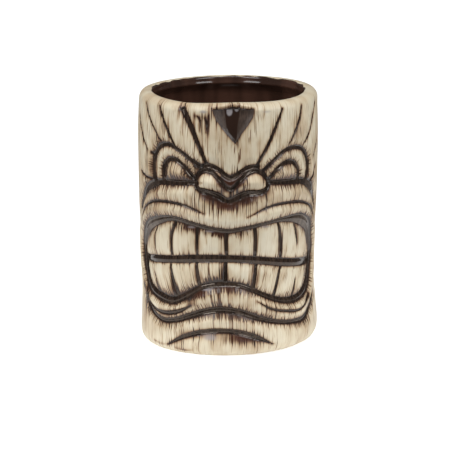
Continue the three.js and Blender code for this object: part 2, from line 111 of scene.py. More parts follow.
# The channels of the face, as rows of (across, up, width).
CHANNELS = {
    "brow_ray_left_1": [(-24.3, 124.8, 3.3), (-19.4, 116, 2.8), (-14.9, 106.5, 2.0), (-11, 98, 1.8)],
    "brow_ray_left_2": [(-39, 124.5, 0.5), (-35, 116, 1.1), (-30.6, 109, 1.1), (-28, 104.5, 0.8)],
    "brow_ray_left_3": [(-52.5, 124.5, 0.6), (-49, 119, 0.8), (-42.5, 112, 0.7), (-37, 106, 0.5)],
    "brow_ray_left_4": [(-62, 116, 0.6), (-58, 109, 0.9), (-50, 101, 0.6)],
    "brow_ray_right_1": [(29, 124.5, 0.9), (25.3, 116.5, 1.5), (20, 106, 1.6), (14.5, 97, 1.5)],
    "brow_ray_right_2": [(42.8, 124.5, 0.9), (40.9, 118.5, 1.2), (37.4, 112, 1.2), (33.5, 106.5, 0.4)],
    "brow_ray_right_3": [(59.5, 123.5, 1.1), (54, 116, 1.1), (49.5, 109.5, 1.1), (44.5, 104.5, 0.6)],
    "brow_channel": [
        (-13, 96.6, 2.6), (-9.4, 97, 2.6), (-5.1, 95.3, 2.4), (1.2, 91.2, 2.2), (6.6, 94.1, 2.4),
        (10.6, 96, 2.6), (15.2, 96.4, 2.4),
    ],
    "outer_eye_arch_left": [
        (-14, 96.2, 2.2), (-20.5, 100.3, 1.8), (-26.9, 104, 1.8), (-33.1, 106, 2.2), (-39.2, 104, 2.6),
        (-43.6, 98, 2.6), (-44.4, 91, 2.6), (-43, 86.5, 2.6),
    ],
    "inner_eye_arch_left": [
        (-18, 90.5, 2.4), (-22.8, 95.6, 2.0), (-27.6, 98.5, 2.2), (-31.8, 98.8, 2.6), (-35.2, 96, 2.8),
        (-36.6, 91.9, 2.6), (-36.3, 87, 2.6),
    ],
    "outer_eye_arch_right": [
        (17.8, 94, 1.8), (24.2, 99, 1.9), (30.6, 103, 2.0), (37.9, 103.9, 2.2), (44, 102.2, 2.4),
        (48.8, 97, 2.6), (50, 91.5, 2.6), (48.6, 86, 2.8),
    ],
    "inner_eye_arch_right": [
        (21.5, 90.4, 1.8), (26.4, 94.8, 2.0), (31.5, 97, 2.2), (36.8, 96.4, 2.4), (40.4, 92.6, 2.3),
        (40.9, 87.3, 2.4),
    ],
    "under_eye_channel_left": [
        (-16, 88, 2.4), (-27.5, 87.2, 2.6), (-41.5, 85.5, 3.2), (-51.5, 81, 3.8), (-58, 75.5, 3.2),
        (-63, 69, 2.0),
    ],
    "under_eye_channel_right": [
        (20.5, 88, 2.4), (32, 87, 2.6), (46.5, 85.3, 3.6), (55, 81, 4.2), (60.5, 75.8, 3.6), (64, 69, 2.2),
    ],
    "nose_bridge_channel": [
        (-16.6, 89.2, 2.0), (-15.2, 92.4, 2.4), (-11.6, 94.6, 2.6), (-8, 93.8, 2.4), (-4.1, 90.4, 2.2),
        (1.2, 85.4, 2.0), (5.6, 89.8, 2.2), (9.6, 93.2, 2.4), (14, 94.4, 2.6), (17.8, 92.6, 2.4),
        (20.2, 89.2, 2.0),
    ],
    "nose_crease": [(1.2, 85.6, 1.1), (1.1, 81.2, 0.8)],
    "under_nose_channel": [
        (-16.7, 89.6, 2.0), (-16.6, 86.4, 2.4), (-14.6, 84.7, 2.8), (-11, 84, 3.3), (-6.4, 82.6, 3.4),
        (0.6, 79.4, 2.6), (5.4, 81.5, 3.2), (10.6, 83.4, 3.1), (15.5, 83.3, 2.7), (19, 84.2, 2.4),
        (20.8, 86.4, 2.2), (20.4, 89.6, 1.8),
    ],
    "smile_line_left": [
        (-60, 63.4, 0.8), (-55.5, 69.5, 1.0), (-47, 74.6, 1.2), (-36, 76.8, 1.3), (-24, 76.4, 1.3),
        (-12, 72.8, 0.3),
    ],
    "smile_line_right": [
        (61, 64, 1.0), (57, 69.3, 1.2), (48, 74, 1.3), (33, 76.6, 1.4), (24, 76.2, 1.3), (9.5, 71.2, 0.3),
    ],
    "mouth_channel": [
        (0, 64, 2.6), (-9.5, 65.2, 2.4), (-18.8, 67, 2.4), (-30, 68.6, 2.8), (-42, 65.9, 4.2),
        (-53.5, 60.2, 5.0), (-60.5, 51, 4.2), (-58.6, 41, 4.1), (-53, 31.8, 4.1), (-40.5, 27.1, 4.2),
        (-31, 26.6, 3.8), (-22.8, 30.2, 3.4), (-13.6, 35, 3.0), (-3, 37, 2.6), (6, 36.4, 2.4),
        (21.3, 29.8, 2.6), (31, 26.6, 3.0), (42.5, 26.3, 3.6), (51.7, 30, 4.1), (57.2, 37, 4.1),
        (59.3, 48.5, 4.4), (55.6, 59, 4.8), (46, 65.8, 6.2), (30, 68, 2.8), (18.7, 66.9, 2.2), (9, 65.3, 2.2),
    ],
    "bite_line": [
        (-59, 44.2, 3.0), (-53, 44.6, 3.6), (-46, 45.5, 3.9), (-33, 47.2, 4.0), (-14, 49.4, 4.2),
        (0, 49.8, 4.0), (14, 48.7, 4.1), (28.5, 46.4, 4.3), (43, 44.2, 4.4), (52, 43.2, 4.0), (57.5, 43, 3.0),
    ],
    "upper_tooth_gap_1": [(-42.5, 65, 0.9), (-45.5, 57, 0.8), (-44.9, 48, 0.7)],
    "upper_tooth_gap_2": [(-29.2, 67, 1.9), (-32.2, 58.8, 1.8), (-31.8, 50, 1.4)],
    "upper_tooth_gap_3": [(-16, 66, 1.9), (-16.4, 59.9, 1.8), (-16.4, 51.5, 1.5)],
    "upper_tooth_gap_4": [(-0.8, 64, 2.3), (-0.9, 59, 2.2), (-0.5, 52, 1.9)],
    "upper_tooth_gap_5": [(14.1, 65.5, 2.1), (14.9, 60, 1.9), (14.9, 51, 1.7)],
    "upper_tooth_gap_6": [(27.8, 67, 1.5), (29.9, 59.1, 2.0), (30.2, 49, 1.6)],
    "upper_tooth_gap_7": [(39.5, 66.5, 1.4), (41.8, 58, 1.0), (42.8, 54, 0.5)],
    "lower_tooth_gap_1": [(-45.8, 38.5, 0.3), (-44.3, 33.5, 0.9), (-41.2, 27.8, 1.0)],
    "lower_tooth_gap_2": [(-33.4, 45, 1.5), (-31.9, 38, 1.9), (-28, 29, 2.0)],
    "lower_tooth_gap_3": [(-17, 47, 1.7), (-16.4, 41.7, 1.9), (-15.4, 35.5, 2.0)],
    "lower_tooth_gap_4": [(-1.1, 47.5, 2.1), (-1.3, 43, 2.4), (-1.4, 37, 2.4)],
    "lower_tooth_gap_5": [(15.2, 46, 2.0), (14.8, 40.5, 2.0), (13.2, 33.5, 1.9)],
    "lower_tooth_gap_6": [(29.9, 44, 1.1), (28.2, 36.5, 1.5), (25, 29, 1.5)],
    "lower_tooth_gap_7": [(41.8, 36, 0.6), (38.7, 27.5, 1.1)],
    "lower_lip_line_left": [
        (-55, 29.5, 0.6), (-47, 20.7, 1.7), (-37.5, 19.5, 2.1), (-27, 21.8, 2.0), (-19.5, 25.5, 0.4),
    ],
    "lower_lip_line_right": [
        (15, 28, 0.5), (22, 23.8, 0.9), (31, 21.4, 1.3), (44, 20.8, 1.3), (53, 26.5, 1.0),
    ],
    "lower_lip_channel": [
        (-59, 30, 1.4), (-47, 17.6, 2.6), (-39.5, 15.6, 2.6), (-29.5, 16.9, 2.7), (-20.3, 20.1, 3.0),
        (-12, 22.9, 3.3), (-3, 24.1, 3.3), (6, 22.7, 3.0), (15.4, 19.3, 2.6), (24.6, 16.7, 2.5),
        (36, 15.1, 2.3), (47.5, 15.6, 2.6), (59, 26, 1.4),
    ],
    "chin_arc": [
        (-35, 3.4, 0.7), (-25, 8.8, 2.2), (-16, 11.8, 2.6), (-4, 13.3, 2.6), (5.5, 12.4, 2.6), (14, 9.6, 2.2),
        (23.5, 5.2, 0.6),
    ],
}
LOOP = "mouth_channel"  # the one channel that comes back to where it starts

# A channel with one of these words in its name has ticks of wash across its edges.
TICKED = ("arch", "eye_channel", "mouth", "lip_channel")

CHANNEL_STEP = 1.2  # between the points on a channel's middle line
DEPTH_SHARE = 0.62  # a channel is cut as deep as this share of its width
DEEPEST_CUT = 1.9
FLOOR_SHARE = 0.3  # it is flat over this share of its width
SHOULDER_SHARE = 0.4  # the wall rounds down towards it by this share of its width
SHOULDER_WIDEST = 3.0  # widths past this count as this for the rounding
SHOULDER_REACH = 4.5  # the rounding starts this far from its edge
FAR = 12.0  # a channel does nothing beyond this distance
LENGTH_APART = 150.0  # added to the length along each next channel, so that no two share their ticks
TEETH_SET_IN = 0.9  # how far the teeth lie behind the lips
LIP_ROLL = 1.0  # how far the lips stand out round the mouth
ROLL_AWAY = 4.5  # the top of that roll is this far from the mouth channel
ROLL_WIDE = 3.0
DEEPEST_CARVED = 3.0  # nothing is carved deeper than this into the wall

# Shallow lines that hold wash and no pool of glass, as rows of (across, up, width).
SCORED_LINES = [
    [(-60, 88.5, 0.9), (-53, 87, 1.1), (-46, 86.6, 0.8)],
    [(-46.4, 100, 1.4), (-43, 99, 1.4)],
    [(64, 104, 0.9), (57, 97, 0.7)],
    [(61, 91, 0.9), (54, 84, 0.9)],
    [(-45.5, 3.9, 0.1), (-41.5, 3.2, 0.3), (-36.5, 3.3, 0.1)],
    [(-29.5, 2.5, 0.1), (-24.5, 2.1, 0.35), (-20, 2.5, 0.1)],
    [(-16, 121.6, 0.5), (-14.9, 120.6, 1.1), (-14.2, 118, 0.7), (-14.4, 114, 0.1)],
    [(-11.6, 120.6, 0.7), (-11, 118.6, 1.3), (-10.9, 116.5, 0.8), (-11.1, 113.6, 0.1)],
]

# Broad swellings: (across, up, half-width, half-height, how far they stand out).
SWELLINGS = [
    (-7.5, 88.6, 9, 5.5, 3.2), (10.5, 88.6, 9, 5.5, 3.2),
    (-32, 80, 24, 8, 0.9), (34, 80, 24, 8, 0.9),
    (-34, 71.5, 24, 4, 0.9), (36, 71.5, 24, 4, 0.9), (0, 71, 14, 6, 0.8),
    (-2, 30, 20, 6, 1.0), (-38, 23.5, 14, 3, 0.6), (40, 23.5, 14, 3, 0.6), (0, 18, 40, 4.5, 0.6),
    (-27, 92.5, 8, 5, 1.2), (31, 92, 8, 5, 1.2), (-48, 26, 9, 8, 0.7), (50, 26, 9, 8, 0.7),
]
SWELLING_FALL = 1.5

# The V-shaped notch under the rim: where its left and its right side are at heights from its point up.
NOTCH_UP = np.array([108.6, 112.6, 117.6, 121.6, 124.5, 127.5])
NOTCH_LEFT = np.array([3.0, -0.4, -4.3, -6.7, -8.0, -8.6])
NOTCH_RIGHT = np.array([3.7, 6.1, 9.8, 12.3, 13.0, 12.9])
NOTCH_POINT = 108.4
NOTCH_TOP = 125.5  # its upper edge, at the two ends
NOTCH_HUMP = 2.0  # how far that edge rises in the middle
NOTCH_HUMP_AT = 2.5
NOTCH_HUMP_WIDE = 5.0
NOTCH_LEAN = 0.8  # the distance to a leaning side, as a share of the distance straight across
NOTCH_SLOPE = 0.992  # how steeply its sides go in
NOTCH_DEPTH = 1.7
NOTCH_SCOOP = 2.2  # how much deeper it is hollowed towards the rim


def through(x, knots, values):
    """A smooth line through the knots: between two of them it is the cubic that meets both values, and its
    slope at a knot is the mean slope of the stretches beside it."""
    slope = np.gradient(values, knots)
    i = np.clip(np.searchsorted(knots, x, side="right") - 1, 0, len(knots) - 2)
    wide = knots[i + 1] - knots[i]
    t = np.clip((x - knots[i]) / wide, 0, 1)
    ends = values[i] * (1 + 2 * t) * (1 - t) ** 2 + values[i + 1] * t**2 * (3 - 2 * t)
    return ends + wide * t * (1 - t) * (slope[i] * (1 - t) - slope[i + 1] * t)


def smoothstep(x, low, high):
    """0 below low, 1 above high, and 3t squared minus 2t cubed between them."""
    t = np.clip((x - low) / (high - low), 0, 1)
    return t * t * (3 - 2 * t)


def middle_line(rows, step, closed=False):
    """A channel's middle line as rows of (across, up, width) about a step apart: each column is a smooth
    curve of the length run along the chords. A closed line comes back to its first point."""
    points = np.array(rows, float)
    if closed:
        points = np.vstack([points[-2:], points, points[:3]])
    run = np.concatenate([[0], np.cumsum(np.hypot(*np.diff(points[:, :2], axis=0).T))])
    first, last = (run[2], run[-3]) if closed else (run[0], run[-1])
    at = np.linspace(first, last, max(3, int((last - first) / step)) + 1)
    return np.stack([through(at, run, points[:, k]) for k in range(3)], 1)


def from_line(line, across, up):
    """How far each place is from a line, the line's width there, and the length run along it: the least
    distance to its straight stretches, with the width and the length at the nearest point of the nearest."""
    away = np.full(across.shape, np.inf)
    width = np.zeros(across.shape)
    length = np.zeros(across.shape)
    passed = 0
    for start, end in zip(line[:-1], line[1:]):
        run = end[:2] - start[:2]
        share = np.clip(((across - start[0]) * run[0] + (up - start[1]) * run[1]) / (run @ run), 0, 1)
        distance = np.hypot(across - start[0] - share * run[0], up - start[1] - share * run[1])
        nearer = distance < away
        width = np.where(nearer, start[2] + share * (end[2] - start[2]), width)
        length = np.where(nearer, passed + share * np.hypot(*run), length)
        away = np.minimum(away, distance)
        passed += np.hypot(*run)
    return away, width, length


def inside_loop(loop, across, up):
    """Whether each place is inside a loop: a line from it towards +across meets the loop's straight
    stretches an odd number of times."""
    inside = np.zeros(across.shape, bool)
    for start, end in zip(loop[:-1], loop[1:]):
        spans = (start[1] > up) != (end[1] > up)
        if spans.any():
            meets = start[0] + (up - start[1]) * (end[0] - start[0]) / (end[1] - start[1])
            inside ^= spans & (across < meets)
    return inside


def streaks(across, up, wide, tall, seed):
    """Smooth random values from -1 to 1 in upright streaks: a random value at each corner of a grid of
    cells, wide by tall millimetres, blended across each cell by smoothstep. The grid meets itself at the
    back."""
    columns = int(2 * np.pi * FACE_RADIUS / wide)
    corners = np.random.default_rng(seed).uniform(-1, 1, (int(HEIGHT / tall) + 4, columns))
    u = np.mod(across / (2 * np.pi * FACE_RADIUS), 1) * columns
    v = np.clip(up / tall, 0, len(corners) - 2.001)
    i, j = v.astype(int), u.astype(int) % columns
    s, t = smoothstep(u % 1, 0, 1), smoothstep(v % 1, 0, 1)
    k = (j + 1) % columns
    low = corners[i, j] * (1 - s) + corners[i, k] * s
    high = corners[i + 1, j] * (1 - s) + corners[i + 1, k] * s
    return low * (1 - t) + high * t


def carved(across, up):
    """The carved wall at places on it, in millimetres: how far it stands out of the plain wall, how far each
    place is from the edge of the nearest channel, below 0 inside one, the length run along that channel, and
    whether its edges have ticks across it. A channel is cut as deep as a share of its width, its floor is
    flat over a share of it, and its shoulders round down towards it. The teeth are set in behind the lips,
    and the lips roll out round the mouth."""
    cut = np.zeros(across.shape)
    ticked = np.zeros(across.shape)
    shoulder = np.zeros(across.shape)
    edge = np.full(across.shape, FAR)
    length = np.zeros(across.shape)
    scored = {f"scored_line_{number}": rows for number, rows in enumerate(SCORED_LINES)}
    for number, (name, rows) in enumerate({**CHANNELS, **scored}.items()):
        line = middle_line(rows, CHANNEL_STEP, name == LOOP)
        low = line[:, :2].min(0) - FAR
        high = line[:, :2].max(0) + FAR
        near = np.flatnonzero((across > low[0]) & (across < high[0]) & (up > low[1]) & (up < high[1]))
        away, width, passed = from_line(line, across[near], up[near])
        half = width / 2
        depth = np.minimum(DEPTH_SHARE * width, DEEPEST_CUT)
        depth = depth * (1 - smoothstep(away / half, FLOOR_SHARE, 1.1))
        drop = SHOULDER_SHARE * np.minimum(width, SHOULDER_WIDEST)
        drop = drop * (1 - smoothstep(away - half, 0, SHOULDER_REACH))
        nearer = away - half < edge[near]
        cut[near] = np.maximum(cut[near], depth)
        shoulder[near] = np.maximum(shoulder[near], drop)
        length[near] = np.where(nearer, passed + LENGTH_APART * number, length[near])
        ticked[near] = np.where(nearer, any(part in name for part in TICKED), ticked[near])
        edge[near] = np.minimum(edge[near], away - half)
    swollen = np.zeros(across.shape)
    for a, u, wide, high, out in SWELLINGS:
        distance = ((across - a) / wide) ** 2 + ((up - u) / high) ** 2
        swollen = np.maximum(swollen, out * np.exp(-SWELLING_FALL * distance))
    mouth = middle_line(CHANNELS[LOOP], CHANNEL_STEP, True)
    from_mouth, _, _ = from_line(mouth, across, up)
    in_mouth = inside_loop(mouth, across, up)
    set_in = TEETH_SET_IN * smoothstep(from_mouth, 0, 1.5) * in_mouth
    roll = LIP_ROLL * np.exp(-(((from_mouth - ROLL_AWAY) / ROLL_WIDE) ** 2)) * ~in_mouth
    lift = np.maximum(swollen, roll) - set_in - shoulder - cut
    return np.where(lift < 0, DEEPEST_CARVED * np.tanh(lift / DEEPEST_CARVED), lift), edge, length, ticked


def notch_top(across):
    """The height of the notch's upper edge, which rises to a low hump."""
    return NOTCH_TOP + NOTCH_HUMP * np.exp(-(((across - NOTCH_HUMP_AT) / NOTCH_HUMP_WIDE) ** 2))


def notch_sides(across, up):
    """How far inside the notch's two sides a place is."""
    height = np.clip(up, NOTCH_UP[0], NOTCH_UP[-1])
    left = across - through(height, NOTCH_UP, NOTCH_LEFT)
    right = through(height, NOTCH_UP, NOTCH_RIGHT) - across
    return NOTCH_LEAN * np.minimum(left, right)


def notch_edge(across, up):
    """How far inside the notch a place is: the least distance to its sides, its top and its point."""
    return np.minimum(notch_sides(across, up), np.minimum(notch_top(across) - up, up - NOTCH_POINT))


def notch_depth(across, up):
    """The depth of the notch: it falls away from its sides to a valley down its middle, deeper towards the
    rim, and a short wall closes it at the top."""
    inside = np.maximum(np.minimum(notch_sides(across, up), up - NOTCH_POINT), 0)
    valley = NOTCH_DEPTH * (1 - np.exp(-NOTCH_SLOPE * inside / NOTCH_DEPTH))
    scoop = NOTCH_SCOOP * smoothstep(up, 114, 126) * (1 - np.exp(-inside / 4))
    return (valley + scoop) * smoothstep(notch_top(across) - up, -0.5, 0.5)


def wood_grain(across, up):
    """The wood's grain in the casting: two sizes of upright streaks, a fraction of a millimetre high."""
    broad = streaks(across, up, 2.4, 26, 3)
    fine = streaks(across, up, 0.95, 9, 5)
    return 0.09 * broad + 0.07 * fine


def rim_dropped(across, up):
    """How far the uneven rim has dropped at places on the wall: all of it at the top, and none low down."""
    turn = np.clip(across / FACE_RADIUS, -np.pi, np.pi)
    return through(turn, RIM_TURN, RIM_DROP) * smoothstep(up, 117, 127)


def rim_rounded(across, up):
    """How far the rim's rounding has come in from the plain wall at places on it, along a quarter circle."""
    into = np.clip(up + rim_dropped(across, up) - HEIGHT + RIM_ROUND, 0, 0.98 * RIM_ROUND)
    return RIM_ROUND - np.sqrt(RIM_ROUND**2 - into**2)


def on_wall(across, up, out):
    """The points at places on the wall, out millimetres proud of the plain wall, in millimetres."""
    radius = through(up, WALL_UP, WALL_RADIUS) - rim_rounded(across, up) + out
    turn = across / FACE_RADIUS
    x = radius * np.sin(turn) + through(up, WALL_UP, WALL_LEAN)
    return np.stack([x, -radius * np.cos(turn), up], -1)


def arc(radius, up, size, start, end, steps):
    """Points (radius, up) on a circular arc about a centre, between two angles in degrees."""
    turn = np.radians(np.linspace(start, end, steps))
    return np.stack([radius + size * np.cos(turn), up + size * np.sin(turn)], 1)


def casting_profile():
    """Half of the casting's section as points (radius, up): from the middle of the foot, out over its ring,
    up the wall, round the rim and the lip, and down the inside to the middle of the cup's floor. With it,
    how far each point moves for a millimetre more of rounding at the foot."""
    top = HEIGHT - RIM_ROUND
    wall_up = np.linspace(FOOT_ROUND, top, WALL_ROWS)
    foot = through(FOOT_ROUND, WALL_UP, WALL_RADIUS) - FOOT_ROUND
    rim = through(top, WALL_UP, WALL_RADIUS) - RIM_ROUND
    unit = arc(0, 0, 1, -90, -8, ROUND_ROWS)
    profile = np.vstack([
        UNDER_FOOT,
        (foot, FOOT_ROUND) + FOOT_ROUND * unit,
        np.stack([through(wall_up, WALL_UP, WALL_RADIUS), wall_up], 1),
        arc(rim, top, RIM_ROUND, 8, 90, ROUND_ROWS),
        arc(MOUTH_RADIUS + LIP_ROUND, HEIGHT - LIP_ROUND, LIP_ROUND, 90, 180, 5),
        [(MOUTH_RADIUS, HEIGHT - LIP_DROP), (CUP_RADIUS, HEIGHT - LIP_DROP - LIP_STEP), (CUP_RADIUS, 70)],
        arc(CUP_RADIUS - CUP_CORNER, FLOOR_TOP + CUP_CORNER, CUP_CORNER, 0, -90, 5),
        [(14, FLOOR_TOP), (2, FLOOR_TOP)],
    ])
    moves = np.zeros(profile.shape)
    rounded = len(UNDER_FOOT)
    upright = rounded + ROUND_ROWS
    moves[rounded:upright] = unit + (-1, 1)
    moves[upright:upright + WALL_ROWS, 1] = (top - wall_up) / (top - FOOT_ROUND)
    return profile, moves


def skin(name, rings, loop=False):
    """A mesh object over rings of points in millimetres, of the shape (rings, points, 3): four-sided faces
    between neighbouring rings, and each end closed by a fan to the end ring's mean point, unless the rings
    are a loop. The faces are turned to point outwards if the volume inside them comes out below 0."""
    count, size = rings.shape[:2]
    ids = np.arange(count * size).reshape(count, size)
    here = ids if loop else ids[:-1]
    there = np.roll(ids, -1, 0) if loop else ids[1:]
    quads = np.stack([here, np.roll(here, -1, 1), np.roll(there, -1, 1), there], -1).reshape(-1, 4)
    points = rings.reshape(-1, 3) * MM
    fans = np.zeros((0, 3), int)
    if not loop:
        start, end = count * size, count * size + 1
        first, last = ids[0], ids[-1]
        fans = np.vstack([
            np.stack([np.full(size, start), np.roll(first, -1), first], 1),
            np.stack([last, np.roll(last, -1), np.full(size, end)], 1),
        ])
        points = np.vstack([points, points[first].mean(0), points[last].mean(0)])
    corners = np.vstack([quads[:, [0, 1, 2]], quads[:, [0, 2, 3]], fans])
    a, b, c = (points[corners[:, k]] for k in range(3))
    if np.sum(a * np.cross(b, c)) < 0:
        quads, fans = quads[:, ::-1], fans[:, ::-1]
    mesh = bpy.data.meshes.new(name)
    mesh.from_pydata(points.tolist(), [], quads.tolist() + fans.tolist())
    mesh.polygons.foreach_set("use_smooth", np.ones(len(mesh.polygons), bool))
    piece = bpy.data.objects.new(name, mesh)
    bpy.context.scene.collection.objects.link(piece)
    return piece


def keep_on(piece, name, values):
    """Keeps a number, or a place of three numbers, for every point of a piece as a named attribute. The
    points that close the two ends take the values of the end rings' first points."""
    extra = len(piece.data.vertices) - len(values)
    full = np.concatenate([values, values[[0, -1]][:extra]]).astype(np.float32)
    kind, field = ("FLOAT", "value") if full.ndim == 1 else ("FLOAT_VECTOR", "vector")
    piece.data.attributes.new(name, kind, "POINT").data.foreach_set(field, full.ravel())


NARROWS_FROM = 46.0  # the top of the lower teeth
NARROWS_OVER = 18.0  # their height
NARROWS_BY = 0.0094  # the share lost for each millimetre of it


def grain_place(across, up):
    """Where each place on the wall lies in the wood, in metres, on a plain upright cylinder. The grain draws
    together down the lower teeth and stays so below them, and is plain again round the sides."""
    narrowed = 1 / (1 - NARROWS_BY * np.clip(NARROWS_FROM - up, 0, NARROWS_OVER)) - 1
    turn = across / FACE_RADIUS * (1 + narrowed * (1 - smoothstep(np.abs(across), 60, 95)))
    return np.stack([FACE_RADIUS * np.sin(turn), -FACE_RADIUS * np.cos(turn), up], -1) * MM


# How strongly the grain shows: (across, up, half-width, half-height, strength).
GRAIN_SHOWS = [
    (0, 112, 60, 16, 0.6), (-13, 109, 5, 6, 0.1), (-40, 80, 24, 8, 0.55), (42, 80, 24, 8, 0.6),
    (0, 58, 46, 9, 0.3), (0, 36, 46, 8, 0.45), (0, 24, 50, 8, 0.35), (0, 6, 50, 8, 0.35),
]
PLAIN_GRAIN = 0.75  # its strength at the sides and the back
PLAIN_WEIGHT = 0.05


def grain_shown(across, up):
    """How strongly the grain shows at places on the wall: the mean of the patches by nearness, with the
    plain strength counted in at a small weight. It fades towards the rim."""
    total = np.full(across.shape, PLAIN_WEIGHT * PLAIN_GRAIN)
    weight = np.full(across.shape, PLAIN_WEIGHT)
    for a, u, wide, high, strength in GRAIN_SHOWS:
        near = np.exp(-(((across - a) / wide) ** 2 + ((up - u) / high) ** 2) ** 2)
        total, weight = total + near * strength, weight + near
    return total / weight * (1 - 0.75 * smoothstep(up, 121, 126.5))


def cast_body():
    """The casting: the profile turned round the cup's axis, with columns closer together on the face, and
    each point moved along the profile's normal by the carving, the notch and the grain where the normal
    points out of the wall. The rim drops and the foot's rounding changes round the wall."""
    profile, moves = casting_profile()
    along = np.gradient(profile, axis=0)
    normal = np.stack([along[:, 1], -along[:, 0]], 1) / np.hypot(along[:, 0], along[:, 1])[:, None]
    even = np.linspace(-np.pi, np.pi, COLUMNS, endpoint=False)
    turn = even - FRONT_CROWDING * np.sin(even)
    rounder = through(turn, FOOT_TURN, FOOT_CHANGE)
    across = np.broadcast_to(turn * FACE_RADIUS, (len(profile), COLUMNS))
    up = profile[:, 1:] + moves[:, 1:] * rounder
    up = up - rim_dropped(across, up)
    flat_across, flat_up = across.ravel(), up.ravel()
    faces_out = np.repeat(smoothstep(normal[:, 0], 0.05, 0.5), COLUMNS)
    out, edge, length, ticked = carved(flat_across, flat_up)
    out = out - notch_depth(flat_across, flat_up)
    out += wood_grain(flat_across, flat_up) * (1 - smoothstep(flat_up, 122, 127))
    out = (out * faces_out).reshape(across.shape)
    wobble = 0.25 * streaks(flat_across, flat_up, 23, 40, 11).reshape(across.shape)
    on_outside = np.repeat((np.arange(len(profile)) < OUTSIDE_ROWS)[:, None], COLUMNS, 1)
    wobble = wobble * on_outside * smoothstep(up, 1, 12) * (1 - smoothstep(up, 120, 126))
    radius = profile[:, :1] + moves[:, :1] * rounder + normal[:, :1] * out + wobble
    lean = np.where(on_outside & (radius > 42), through(up, WALL_UP, WALL_LEAN), 0)
    x = radius * np.sin(across / FACE_RADIUS) + lean
    y = -radius * np.cos(across / FACE_RADIUS)
    z = up + normal[:, 1:] * out
    piece = skin("carved_casting", np.stack([x, y, z], -1))
    keep_on(piece, "channel_edge", edge)
    keep_on(piece, "channel_length", length)
    keep_on(piece, "ticked", ticked)
    keep_on(piece, "notch_edge", -notch_edge(flat_across, flat_up))
    keep_on(piece, "washed", strongest(WASH, 0.1, flat_across, flat_up))
    keep_on(piece, "rusty", strongest(RUST, 0.0, flat_across, flat_up))
    keep_on(piece, "grained", faces_out * grain_shown(flat_across, flat_up))
    # the tan, with painted shade in a band round the rim's top
    keep_on(piece, "tan_and_rim_shade", strongest(TAN_AND_RIM_SHADE, 0.2, flat_across, flat_up))
    # painted highlights, pale grey in place of reflections of the lights
    keep_on(piece, "painted_glint", strongest(PAINTED_GLINTS, 0.0, flat_across, flat_up))
    keep_on(piece, "grain_place", grain_place(flat_across, flat_up))
    return piece


# Where more of the wash was left: soft patches as (across, up, half-width, half-height, strength).
WASH = [
    # the nose, and under it
    (-9, 79.5, 8, 5, 1.45), (0, 77, 10, 4, 1.5), (10, 79, 9, 5, 1.4), (19, 81, 8, 4, 0.9),
    (1.4, 89, 6, 4, 1.6), (-3, 84.5, 3, 2.2, 0.9), (5.2, 84.5, 3, 2.2, 0.9), (-13, 90, 3, 3, 0.5),
    (17, 90, 3, 3, 0.5),
    # the forehead
    (-12.5, 122, 5, 1.6, 0.5), (17, 112, 4, 6, 0.35), (38, 119, 6, 4, 0.35), (52, 117, 5, 4, 0.35),
    (-30, 118, 8, 5, 0.3),
    # the eyes
    (-26, 90, 9, 4.5, 1.0), (31, 89, 10, 4.5, 0.8), (-17, 96, 6, 4, 0.7), (22, 96, 5, 4, 0.4),
    (-48, 93, 4.5, 9, 0.8), (54, 93, 4.5, 10, 0.4), (-40, 106.5, 6, 3, 0.6), (-50, 84, 9, 4, 0.6),
    (54, 84, 8, 4, 0.7),
    # the mouth's upper corners, and the tops of the upper teeth
    (-52, 62, 6, 9, 0.7), (55, 62, 6, 9, 1.0), (-21, 64.5, 8, 3, 0.9), (-5, 63, 8, 2.5, 0.9),
    (8, 62, 7, 3, 0.5), (-48, 67, 10, 5, 0.6),
    # the lower teeth's bottoms, and the lower lip
    (-33, 31, 13, 6, 1.0), (-7, 39.5, 9, 5, 1.1), (8, 37, 8, 4, 0.5), (40, 29, 12, 4, 0.6),
    (-12, 31, 14, 5, 1.0), (5, 33, 8, 4, 1.0), (-20, 29, 6, 4, 1.1), (-50, 40, 6, 12, 0.4),
    (55, 38, 5, 12, 0.6),
    # the chin
    (-28, 12, 26, 3, 0.6), (0, 20, 30, 3.5, 0.8), (46, 13, 12, 3, 0.6), (-54, 22, 7, 9, 0.8),
    (57, 22, 6, 9, 0.8), (-10, 9, 16, 3.5, 0.8), (6, 8.5, 12, 3.5, 1.2), (-26, 5, 8, 3, 0.5),
]

# Where the wash burnt to a rusty red: the same columns.
RUST = [
    # the forehead, the nose and the eyes
    (-12.5, 120.6, 4.5, 1.6, 0.6), (-12, 115.5, 2.5, 5, 0.3), (1.4, 88.4, 6, 3, 1.0),
    (-2, 76.6, 10, 3.0, 1.0), (12, 79.5, 6, 2.4, 0.8), (-12, 81, 6, 2.0, 0.7), (30, 84.2, 9, 2.0, 0.6),
    (-26, 89.4, 7, 1.6, 0.6), (33, 89, 7, 1.6, 0.6),
    # the mouth and the chin
    (-20, 64.3, 5.5, 1.5, 0.8), (-5, 62.3, 5, 1.4, 0.8), (-13.5, 31.4, 4, 2.2, 1.0),
    (0, 34.6, 7, 1.8, 0.9), (-27, 32, 6, 2, 0.5), (0, 20.6, 14, 1.4, 0.5), (4, 9.3, 8, 2.4, 1.0),
    (-2, 26, 12, 1.2, 0.5), (30, 24, 8, 1.2, 0.4), (50, 60, 4, 4, 0.4),
]
